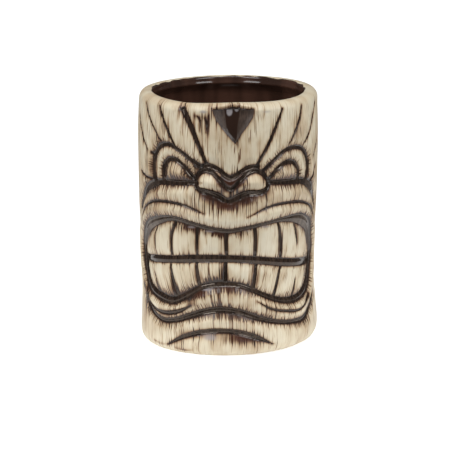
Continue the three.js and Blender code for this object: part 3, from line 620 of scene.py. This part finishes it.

# Where the cream took on a tan, with a band round the rim that is painted shade, darkening the rim's top
# under the lights from above; and painted highlights, pale grey patches that stand in for reflections of
# the lights on glossy ledges: the same columns.
TAN_AND_RIM_SHADE = [
    # the forehead and the rim, whose band is painted shade, the eyes and the cheeks
    (0, 106, 18, 8, 0.7), (-34, 110, 14, 10, 0.3), (36, 110, 16, 8, 0.5), (0, 127.5, 300, 3, 0.8),
    (-27, 93, 8, 5, 0.8), (31, 92, 8, 5, 0.8), (-40, 79, 20, 7, 1.0), (44, 78, 18, 7, 0.9),
    (-38, 71.5, 20, 3.5, 0.9), (38, 71.5, 20, 3.5, 0.6),
    # the teeth
    (-23, 57, 7, 8, 0.5), (7, 57, 7, 7, 0.6), (22, 40, 7, 7, 0.4), (-23, 40, 8, 6, 1.0),
    (-44, 33, 7, 7, 0.5),
    # the lower lip, the sides and the foot
    (0, 28, 30, 5, 0.6), (-52, 12, 18, 9, 0.9), (50, 10, 22, 8, 0.7), (-66, 60, 12, 50, 0.5),
    (66, 60, 12, 50, 0.4), (0, 4, 40, 3.5, 0.6),
]
# painted highlights: pale grey patches that stand in for reflections of the lights on glossy ledges
PAINTED_GLINTS = [
    (-12.6, 123.9, 2.2, 1.0, 0.9), (19.5, 123.6, 3.5, 1.0, 0.6), (-19.5, 65.2, 3, 0.8, 0.8),
    (-9.5, 63.6, 3.5, 0.8, 0.8), (10.5, 63.8, 3.5, 0.8, 0.6), (20, 65.4, 4, 0.8, 0.8),
    (-48, 62, 7, 3, 0.4), (49, 62.5, 7, 4, 0.6), (-12, 34.4, 4.5, 1.1, 1.0), (-10, 9.8, 4.5, 1.8, 0.9),
]

PATCH_FALL = 0.9  # how steeply a soft patch falls off


def strongest(patches, least, across, up):
    """The strongest of some soft patches at places on the wall, or the least strength given if that is
    more. Each patch is its strength times e to minus a share of the squared distance from its middle."""
    most = np.full(across.shape, least)
    for a, u, wide, high, strength in patches:
        distance = ((across - a) / wide) ** 2 + ((up - u) / high) ** 2
        most = np.maximum(most, strength * np.exp(-PATCH_FALL * distance))
    return most


def add(tree, kind, inputs=None, **settings):
    """A node with its settings. inputs gives a socket, by name or number, a value or another's output."""
    node = tree.nodes.new(kind)
    for name, value in settings.items():
        setattr(node, name, value)
    for key, value in (inputs or {}).items():
        if isinstance(value, bpy.types.NodeSocket):
            tree.links.new(value, node.inputs[key])
        else:
            node.inputs[key].default_value = value
    return node


def calc(tree, operation, *values, clamp=False):
    """The result of a sum on numbers or other nodes' outputs."""
    inputs = dict(enumerate(values))
    return add(tree, "ShaderNodeMath", inputs, operation=operation, use_clamp=clamp).outputs[0]


def ease(tree, value, low, high, to_low=0.0, to_high=1.0):
    """A value taken smoothly from the range low to high into the range to_low to to_high."""
    inputs = {0: value, 1: low, 2: high, 3: to_low, 4: to_high}
    return add(tree, "ShaderNodeMapRange", inputs, interpolation_type="SMOOTHSTEP").outputs[0]


def tint(tree, share, first, second):
    """The first colour where share is 0 and the second where it is 1."""
    node = add(tree, "ShaderNodeMix", {0: share, 6: first, 7: second}, data_type="RGBA")
    return node.outputs[2]


def kept(tree, name):
    """A number kept on the piece's points."""
    return add(tree, "ShaderNodeAttribute", attribute_name=name).outputs["Fac"]


def upright_noise(tree, wide, tall, detail=2.0, offset=0.0, place=None):
    """Noise in streaks wide by tall millimetres, from 0 to 1, in the piece's own space or at a place."""
    place = place or add(tree, "ShaderNodeTexCoord").outputs["Object"]
    scale = (1 / (wide * MM), 1 / (wide * MM), 1 / (tall * MM))
    mapped = add(tree, "ShaderNodeMapping", {0: place, 1: (offset, offset, offset), 3: scale})
    noise = add(tree, "ShaderNodeTexNoise", {"Vector": mapped.outputs[0], "Scale": 1.0, "Detail": detail})
    return noise.outputs["Fac"]


def finish_of(name):
    """A new material with nothing but its shader, and its node tree."""
    material = bpy.data.materials.new(name)
    material.use_nodes = True
    shader = material.node_tree.nodes["Principled BSDF"]
    return material, material.node_tree, shader


def across_channel_noise(tree, wide, tall):
    """Noise in ticks that lie across the nearest channel: wide millimetres of its length by tall of the
    distance from it, from 0 to 1."""
    along = calc(tree, "DIVIDE", kept(tree, "channel_length"), wide)
    aside = calc(tree, "DIVIDE", kept(tree, "channel_edge"), tall)
    place = add(tree, "ShaderNodeCombineXYZ", {"X": along, "Y": aside}).outputs[0]
    inputs = {"Vector": place, "Scale": 1.0, "Detail": 2.0}
    return add(tree, "ShaderNodeTexNoise", inputs, noise_dimensions="2D").outputs["Fac"]


# What the wash looks like over the cream glaze, from none of it to so much that it turned to glass.
WASH_COLOURS = [
    (0.0, (0.73, 0.675, 0.54, 1)), (0.16, (0.64, 0.555, 0.405, 1)), (0.34, (0.49, 0.37, 0.235, 1)),
    (0.52, (0.29, 0.18, 0.1, 1)), (0.7, (0.115, 0.051, 0.026, 1)), (0.86, (0.05, 0.025, 0.0165, 1)),
    (1.0, (0.029, 0.0185, 0.0135, 1)),
]
RUSTY_RED = (0.06, 0.0195, 0.0095, 1)
# the colour of the painted highlights
GLINT_GREY = (0.3, 0.27, 0.275, 1)
FULL_WASH_INSIDE = 0.28  # the wash is full from this far inside a channel's edge


def shades(tree, share, stops):
    """The colour at a share of the way along a row of (share, colour), blended between neighbours."""
    ramp = add(tree, "ShaderNodeValToRGB", {"Fac": share})
    row = ramp.color_ramp.elements
    while len(row) < len(stops):
        row.new(0.5)
    for stop, (position, colour) in zip(row, stops):
        stop.position = position
        stop.color = colour
    return ramp.outputs["Color"]


def cream_over_wash():
    """Cream glaze over a brown wash. The wash turned to glass in the channels, lies in ragged ticks and a
    soft haze beside them and in soft patches, and draws thin brown lines in the grain."""
    material, tree, shader = finish_of("cream_glaze_over_brown_wash")
    edge = calc(tree, "MINIMUM", kept(tree, "channel_edge"), kept(tree, "notch_edge"))
    washed = kept(tree, "washed")
    wood = add(tree, "ShaderNodeAttribute", attribute_name="grain_place").outputs["Vector"]
    soft = upright_noise(tree, 8, 12, place=wood)
    broad = upright_noise(tree, 1.5, 20, 2.0, 9.0, wood)
    fine = upright_noise(tree, 0.5, 7, 3.0, 4.0, wood)
    thin = upright_noise(tree, 0.45, 9, 0.5, 17.0, wood)
    stretch = upright_noise(tree, 4, 12, 0.0, 31.0, wood)
    comb = upright_noise(tree, 0.75, 38, 1.0, 23.0, wood)
    ticks = across_channel_noise(tree, 0.75, 20)

    # The grain: broad and fine streaks, thin lines that come and go, and a tan here and there; the tan
    # keeps a band of painted shade round the rim.
    line = calc(tree, "MULTIPLY", ease(tree, thin, 0.61, 0.68), ease(tree, stretch, 0.42, 0.58))
    grain = calc(tree, "ADD", ease(tree, broad, 0.4, 0.7, 0, 0.12), ease(tree, fine, 0.48, 0.74, 0, 0.28))
    grain = calc(tree, "ADD", grain, calc(tree, "MULTIPLY", line, 0.72))
    grain = calc(tree, "MULTIPLY", grain, kept(tree, "grained"))
    grain = calc(tree, "ADD", grain, ease(tree, soft, 0.38, 0.68, 0, 0.15))
    grain = calc(tree, "ADD", grain, calc(tree, "MULTIPLY", kept(tree, "tan_and_rim_shade"), 0.16))

    # Beside a channel: hairs and ticks, and a haze that thins out with distance.
    tick_share = calc(tree, "MULTIPLY", kept(tree, "ticked"), ease(tree, edge, 1.5, 4.0, 1, 0))
    tick = calc(tree, "MULTIPLY", ease(tree, ticks, 0.48, 0.64), tick_share)
    hair = calc(tree, "MAXIMUM", ease(tree, comb, 0.54, 0.7), tick)
    hair_reach = calc(tree, "MULTIPLY", hair, calc(tree, "MULTIPLY_ADD", washed, 3.6, 0.8))
    haze_reach = calc(tree, "MULTIPLY_ADD", calc(tree, "MULTIPLY", washed, washed), 1.1, 0.4)
    outside = calc(tree, "MAXIMUM", calc(tree, "ADD", edge, FULL_WASH_INSIDE), 0.0)
    away = calc(tree, "DIVIDE", outside, calc(tree, "ADD", hair_reach, haze_reach))
    beside = calc(tree, "MULTIPLY", calc(tree, "POWER", 0.36, away), 1.05)

    # All of the wash, with more of it in its patches, and the rust and painted pale grey highlights over it.
    patch_drawn = calc(tree, "MULTIPLY_ADD", ease(tree, comb, 0.5, 0.72), 0.45, 0.1)
    patch = calc(tree, "MULTIPLY", washed, patch_drawn)
    near = ease(tree, edge, 1.0, 9.0, 1, 0.3)
    wash = calc(tree, "ADD", calc(tree, "ADD", beside, grain), calc(tree, "MULTIPLY", patch, near))
    rusty = kept(tree, "rusty")
    rust_drawn = calc(tree, "MULTIPLY_ADD", ease(tree, comb, 0.46, 0.66), 0.6, 0.12)
    wash = calc(tree, "ADD", wash, calc(tree, "MULTIPLY", rusty, rust_drawn), clamp=True)
    burnt = calc(tree, "MULTIPLY", rusty, ease(tree, wash, 0.3, 0.7, 0, 0.85))
    colour = tint(tree, burnt, shades(tree, wash, WASH_COLOURS), RUSTY_RED)
    # painted highlights: pale grey where the lights would shine on glossy ledges
    colour = tint(tree, ease(tree, kept(tree, "painted_glint"), 0.25, 0.9, 0, 0.75), colour, GLINT_GREY)
    tree.links.new(colour, shader.inputs["Base Color"])

    glossier = ease(tree, wash, 0.6, 1.0, 0, 0.24)
    rough = calc(tree, "SUBTRACT", ease(tree, soft, 0.3, 0.7, 0.36, 0.46), glossier)
    tree.links.new(rough, shader.inputs["Roughness"])
    height = calc(tree, "ADD", calc(tree, "MULTIPLY", fine, -0.6), calc(tree, "MULTIPLY", line, -1.0))
    bump = add(tree, "ShaderNodeBump", {"Strength": 0.3, "Distance": 0.00025, "Height": height})
    tree.links.new(bump.outputs[0], shader.inputs["Normal"])
    return material


body = cast_body()
body.data.materials.append(cream_over_wash())
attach(body, "root")
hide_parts("cast_body")

# ---- The lining ----
# Dark red-brown glass, poured in and swirled round, so it covers the floor, the wall and the inside of the
# lip, and ends at the rim in an uneven line.

LINING_THICK = 0.5
LINING_OFF = 0.1  # its outer side is this far inside the cup's floor and wall
LINING_COLUMNS = 260
LINING_DEEP = (0.032, 0.0155, 0.0105, 1)
LINING_THIN = (0.066, 0.031, 0.021, 1)

# The lining's outer side below the lip as (radius, below the rim): it turns in under the lip to a bead.
BEAD = np.array([
    (40.1, 7.8), (39.9, 7.2), (39.1, 5.8), (38.4, 4.6), (37.9, 4.0), (37.75, 3.6), (37.9, 3.2),
    (38.25, 2.0),
])
BEAD_STARTS = 9.6  # the plain wall ends this far below the rim
LIP_STEPS = 8
EDGE_RUN = 1.0  # how far the lining runs over the lip
EDGE_RUN_BACK = 0.35  # how much farther at the back
EDGE_UNEVEN = 0.45


def over_lip(run, out):
    """Places (radius, below the rim) on the lip's rounding, out millimetres off the clay, after a run along
    it: a quarter circle, and then straight on over the rim's top."""
    turn = np.clip(run / LIP_ROUND, 0, np.pi / 2)
    past = np.maximum(run - LIP_ROUND * np.pi / 2, 0)
    size = LIP_ROUND + out
    return MOUTH_RADIUS + LIP_ROUND - size * np.cos(turn) + past, LIP_ROUND - size * np.sin(turn)


def lining():
    """The lining as a closed skin: up the clay's inside wall from the floor's middle, over a bead under the
    lip and over the lip itself, to a thin edge and back down. The edge's run over the lip is uneven."""
    floor = FLOOR_TOP + LINING_OFF
    wall = CUP_RADIUS - LINING_OFF
    outer = np.vstack([
        [(2, floor), (16, floor)],
        arc(wall - CUP_CORNER, floor + CUP_CORNER, CUP_CORNER, -90, 0, 12),
        [(wall, z) for z in np.linspace(30, HEIGHT - BEAD_STARTS, 12)],
        BEAD * (1, -1) + (0, HEIGHT),
    ])
    along = np.gradient(outer, axis=0)
    inward = np.stack([-along[:, 1], along[:, 0]], 1) / np.hypot(along[:, 0], along[:, 1])[:, None]
    inner = outer + inward * LINING_THICK * np.linspace(1, 0.4, len(outer))[:, None]

    turn = np.linspace(-np.pi, np.pi, LINING_COLUMNS, endpoint=False)
    across = turn * FACE_RADIUS
    uneven = streaks(across, np.full(across.shape, 40.0), 4, 40, 21)
    share = np.linspace(0, 1, LIP_STEPS)[:, None]
    at_back = np.clip(-np.cos(turn), 0, 1) ** 1.5
    run = share * (EDGE_RUN + EDGE_RUN_BACK * at_back + EDGE_UNEVEN * uneven)
    under_radius, under_drop = over_lip(run, -0.06)
    top_radius, top_drop = over_lip(run, 0.05 + 0.15 * (1 - share))
    every = np.ones(LINING_COLUMNS)
    radius = np.vstack([outer[:, :1] * every, under_radius, top_radius[::-1], inner[::-1, :1] * every])
    up = np.vstack([
        outer[:, 1:] * every, HEIGHT - under_drop, HEIGHT - top_drop[::-1], inner[::-1, 1:] * every,
    ])
    up = up - rim_dropped(across, up)
    return skin("cup_lining", np.stack([radius * np.sin(turn), -radius * np.cos(turn), up], -1))


def red_brown_glass():
    """Glossy dark glass that shows red-brown where it ran thin."""
    material, tree, shader = finish_of("red_brown_glass")
    runs = upright_noise(tree, 9, 40)
    colour = tint(tree, ease(tree, runs, 0.35, 0.7), LINING_DEEP, LINING_THIN)
    tree.links.new(colour, shader.inputs["Base Color"])
    shader.inputs["Roughness"].default_value = 0.1
    ripple = upright_noise(tree, 7, 12, 1.0)
    bump = add(tree, "ShaderNodeBump", {"Strength": 0.12, "Distance": 0.001, "Height": ripple})
    tree.links.new(bump.outputs[0], shader.inputs["Normal"])
    return material


inside = lining()
inside.data.materials.append(red_brown_glass())
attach(inside, "root")
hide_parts("interior_glaze")

# ---- The glass in the channels ----
# Dark brown glass was brushed along each channel and ran together on its floor in the kiln, so every
# channel holds a strip of its own, thickest along its middle, with ends that taper away.

GLASS_STEP = 0.7  # between the rings along a strip
GLASS_POINTS = 13  # across its top
GLASS_WIDE = 0.86  # its width as a share of the channel's
GLASS_FILM = 0.05  # how far all of it stands off the clay
GLASS_POOL = 0.22  # how much thicker it is in the middle, as a share of the channel's width
GLASS_ROOT = 0.25  # its underside lies this far under the carved surface
GLASS_SINK = 0.12  # its ends dip this far into the clay
GLASS_TAPER = 0.35  # the ends taper until the sine of half a turn times the share run along reaches this
GLASS_DEEP = (0.016, 0.0095, 0.0068, 1)
GLASS_THIN = (0.044, 0.028, 0.02, 1)
GLASS_SMOKE = (0.115, 0.09, 0.072, 1)

# Where the glass turned smoky: soft patches as (across, up, half-width, half-height, strength).
SMOKY = [
    (-49, 63, 9, 4.5, 1.0), (47, 64.5, 10, 5, 1.0), (-50, 84, 8, 4, 0.4), (54, 82, 8, 4, 0.5),
    (0, 64, 30, 4, 0.1),
]


def over_and_under(top, under):
    """Rings round a sheet of glass: each runs over its top and back along its underside, without the two
    side points of the underside, so that the sides are closed and thin."""
    return np.concatenate([top, under[:, ::-1][:, 1:-1]], 1)


def channel_glass(name, rows, closed):
    """A strip of glass in a channel: rings across the channel at steps along its middle line. The top of a
    ring is the carved surface raised by a film and by a pool that is a share of the width, full in the
    middle and nothing at the sides, and its underside lies just under the carved surface."""
    line = middle_line(rows, GLASS_STEP, closed)
    if closed:
        line = line[:-1]
        along = (np.roll(line, -1, 0) - np.roll(line, 1, 0))[:, :2]
        ends = np.ones(len(line))
    else:
        along = np.gradient(line[:, :2], axis=0)
        ends = np.sin(np.pi * np.linspace(0, 1, len(line))).clip(0, GLASS_TAPER) / GLASS_TAPER
    along /= np.hypot(along[:, 0], along[:, 1])[:, None]
    side = np.stack([-along[:, 1], along[:, 0]], 1)
    share = np.cos(np.linspace(0, np.pi, GLASS_POINTS))
    half = GLASS_WIDE * line[:, 2] / 2
    across = line[:, :1] + side[:, :1] * half[:, None] * share
    up = line[:, 1:2] + side[:, 1:] * half[:, None] * share
    surface = carved(across.ravel(), up.ravel())[0].reshape(across.shape)
    pool = GLASS_POOL * line[:, 2:3] * (1 - share**2) * ends[:, None]
    film = GLASS_FILM * (1 - share**4) * ends[:, None] - GLASS_SINK * (1 - ends[:, None])
    top = on_wall(across, up, surface + film + pool)
    under = on_wall(across, up, surface - GLASS_ROOT)
    piece = skin(name, over_and_under(top, under), closed)
    smoky = strongest(SMOKY, 0.0, across, up)
    keep_on(piece, "smoky", over_and_under(smoky, smoky).ravel())
    return piece


def pooled_brown_glass():
    """Glossy dark brown glass: nearly black where it pooled, browner in streaks where it is thin, smoky in
    patches, with some stretches less glossy than others."""
    material, tree, shader = finish_of("pooled_brown_glass")
    runs = upright_noise(tree, 1.3, 9)
    colour = tint(tree, ease(tree, runs, 0.35, 0.7), GLASS_DEEP, GLASS_THIN)
    drift = ease(tree, upright_noise(tree, 2, 9), 0.3, 0.6, 0.4, 1)
    colour = tint(tree, calc(tree, "MULTIPLY", kept(tree, "smoky"), drift), colour, GLASS_SMOKE)
    tree.links.new(colour, shader.inputs["Base Color"])
    rough = ease(tree, upright_noise(tree, 5, 5, 1.0, 5.0), 0.42, 0.6, 0.05, 0.18)
    tree.links.new(rough, shader.inputs["Roughness"])
    shader.inputs["Specular IOR Level"].default_value = 0.6
    shader.inputs["Specular Tint"].default_value = (1, 0.86, 0.74, 1)
    bump = add(tree, "ShaderNodeBump", {"Strength": 0.12, "Distance": 0.0004, "Height": runs})
    tree.links.new(bump.outputs[0], shader.inputs["Normal"])
    return material


channel_finish = pooled_brown_glass()
for channel, rows in CHANNELS.items():
    strip = channel_glass(f"{channel}_glass", rows, channel == LOOP)
    strip.data.materials.append(channel_finish)
    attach(strip, "root")
    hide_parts(f"{channel}_glaze")

# ---- The glass in the notch ----
# A thin sheet of the same glass lies in the V-shaped notch that hangs from the rim over the forehead. It is
# red-brown down the middle of the hollow, and duller on its two flanks, whose greyer colour is painted
# reflection of the side lights. Two painted highlights lie at the top.

NOTCH_ROWS = 60
NOTCH_POINTS = 41
NOTCH_INSET = 0.2  # the sheet stays this far inside the notch's sides
NOTCH_FILM = 0.2  # and its top stands this far off the clay
NOTCH_FROM = NOTCH_POINT + 0.6
NOTCH_TO = NOTCH_TOP - 0.1
CORE_MIDDLE = 2.0
CORE_WIDE = 1.4  # half the width of the red-brown core at the point
CORE_GROWS = 0.16  # by which it widens for each millimetre up
CORE_RAGGED = 0.6
CORE_BROWN = (0.024, 0.0125, 0.0085, 1)
# the flanks' greyer colour is painted reflection of the side lights
FLANK_SHEEN_PALE = (0.062, 0.041, 0.031, 1)
FLANK_SHEEN_DARK = (0.034, 0.022, 0.016, 1)

# Two painted highlights at the top of the core, pale grey patches that stand in for reflections of the
# light overhead: soft patches as (across, up, half-width, half-height, strength).
NOTCH_GLINTS = [(0.5, 123.9, 1.8, 2.4, 1.0), (4.3, 125.3, 1.3, 1.8, 1.0)]
NOTCH_GLINT_GREY = (0.27, 0.25, 0.255, 1)


def notch_glass():
    """A sheet of glass over the notch's hollow: rows across it from its point up to its top edge, with the
    top a little above the clay and the underside a little below it. It keeps how far each point is outside
    the red-brown core, whose half-width grows evenly with height and has a ragged edge."""
    rise = np.linspace(0, 1, NOTCH_ROWS)[:, None]
    share = (1 - np.cos(np.linspace(0, np.pi, NOTCH_POINTS))) / 2
    height = NOTCH_FROM + rise * (NOTCH_TO - NOTCH_FROM)
    left = through(height, NOTCH_UP, NOTCH_LEFT) + NOTCH_INSET
    right = through(height, NOTCH_UP, NOTCH_RIGHT) - NOTCH_INSET
    across = left + (right - left) * share
    up = height + smoothstep(rise, 0.5, 1) * (notch_top(across) - NOTCH_TOP)
    surface = carved(across.ravel(), up.ravel())[0].reshape(across.shape) - notch_depth(across, up)
    film = NOTCH_FILM * (1 - (2 * share - 1) ** 6)
    ragged = streaks(across.ravel(), up.ravel(), 0.8, 12, 8).reshape(across.shape)
    core = CORE_WIDE + CORE_GROWS * (up - NOTCH_UP[0]) + CORE_RAGGED * ragged
    flank = np.abs(across - CORE_MIDDLE) - core
    # the two painted highlights
    glints = strongest(NOTCH_GLINTS, 0.0, across, up)
    top = on_wall(across, up, surface + film)
    under = on_wall(across, up, surface - GLASS_ROOT)
    piece = skin("forehead_notch_glass", over_and_under(top, under))
    keep_on(piece, "flank", over_and_under(flank, flank).ravel())
    keep_on(piece, "painted_glint", over_and_under(glints, glints).ravel())
    return piece


def notch_finish():
    """Dark red-brown glass down the notch's middle, a duller shine on the two flanks with a greyer colour
    that is painted reflection of the side lights, and the two painted highlights."""
    material, tree, shader = finish_of("notch_glass")
    flank = ease(tree, kept(tree, "flank"), -0.3, 0.5)
    runs = upright_noise(tree, 0.7, 12)
    # painted reflection of the side lights: a greyer colour on the flanks
    film = tint(tree, ease(tree, runs, 0.35, 0.7), FLANK_SHEEN_PALE, FLANK_SHEEN_DARK)
    colour = tint(tree, flank, CORE_BROWN, film)
    # the painted highlights in pale grey
    colour = tint(tree, ease(tree, kept(tree, "painted_glint"), 0.35, 0.7), colour, NOTCH_GLINT_GREY)
    tree.links.new(colour, shader.inputs["Base Color"])
    tree.links.new(ease(tree, flank, 0, 1, 0.1, 0.4), shader.inputs["Roughness"])
    shader.inputs["Specular IOR Level"].default_value = 0.25
    return material


notch = notch_glass()
notch.data.materials.append(notch_finish())
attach(notch, "root")
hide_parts("forehead_notch_glaze")

# ---- The table and the light ----
# A white table in a white room, with two soft lights in front to the left and right, two at the sides that
# the glass does not mirror, and a long one overhead that draws the bright lines along the glass. The table
# ends just in front of the mug, so the glass that faces forward has only the dim room to mirror.

TABLE_SIDE = 0.2
TABLE_FRONT = -0.14
TABLE_BACK = 0.35
TABLE_GLOW = 0.36
TABLE_GLOW_SEEN = 0.3  # added where the camera looks at it, so that its far edge doesn't show
ROOM_DIM = 0.1  # the room's brightness, as the mug sees it
ROOM_SEEN = 1.2  # and as the camera does
LIGHT_AIM = (0, 0, 0.065)


def soft_light(name, place, wide, tall, brightness):
    """A soft light of a given surface brightness that faces the middle of the mug."""
    lamp = bpy.data.lights.new(name, "AREA")
    lamp.shape = "RECTANGLE"
    lamp.size = wide
    lamp.size_y = tall
    lamp.energy = brightness * np.pi * wide * tall
    return look(bpy.data.objects.new(name, lamp), place, LIGHT_AIM)


soft_light("left_light", (-0.58, -0.68, 0.66), 0.45, 0.45, 5.4)
soft_light("right_light", (0.58, -0.68, 0.66), 0.45, 0.45, 5.0)
soft_light("left_side_light", (-0.9, -0.15, 0.32), 0.5, 0.6, 3.8).visible_glossy = False
soft_light("right_side_light", (0.9, -0.15, 0.32), 0.5, 0.6, 3.8).visible_glossy = False
soft_light("overhead_light", (-0.03, -0.2, 0.68), 0.7, 0.09, 10.5)

room = bpy.data.worlds.new("white_room")
bpy.context.scene.world = room
room.use_nodes = True
air = room.node_tree
seen = add(air, "ShaderNodeLightPath").outputs["Is Camera Ray"]
strength = calc(air, "MULTIPLY_ADD", seen, ROOM_SEEN - ROOM_DIM, ROOM_DIM)
backdrop = air.nodes["Background"]
backdrop.inputs["Color"].default_value = (1, 1, 1, 1)
air.links.new(strength, backdrop.inputs["Strength"])

table_mesh = bpy.data.meshes.new("table")
corners = [
    (-TABLE_SIDE, TABLE_FRONT, 0), (TABLE_SIDE, TABLE_FRONT, 0), (TABLE_SIDE, TABLE_BACK, 0),
    (-TABLE_SIDE, TABLE_BACK, 0),
]
table_mesh.from_pydata(corners, [], [(0, 1, 2, 3)])
table = bpy.data.objects.new("table", table_mesh)
bpy.context.scene.collection.objects.link(table)
table_finish, table_tree, table_shader = finish_of("white_table")
table_shader.inputs["Base Color"].default_value = (0.8, 0.8, 0.8, 1)
table_shader.inputs["Roughness"].default_value = 0.9
table_shader.inputs["Emission Color"].default_value = (1, 1, 1, 1)
table_seen = add(table_tree, "ShaderNodeLightPath").outputs["Is Camera Ray"]
table_glow = calc(table_tree, "MULTIPLY_ADD", table_seen, TABLE_GLOW_SEEN, TABLE_GLOW)
table_tree.links.new(table_glow, table_shader.inputs["Emission Strength"])
table_mesh.materials.append(table_finish)

bpy.context.scene.view_settings.view_transform = "Standard"
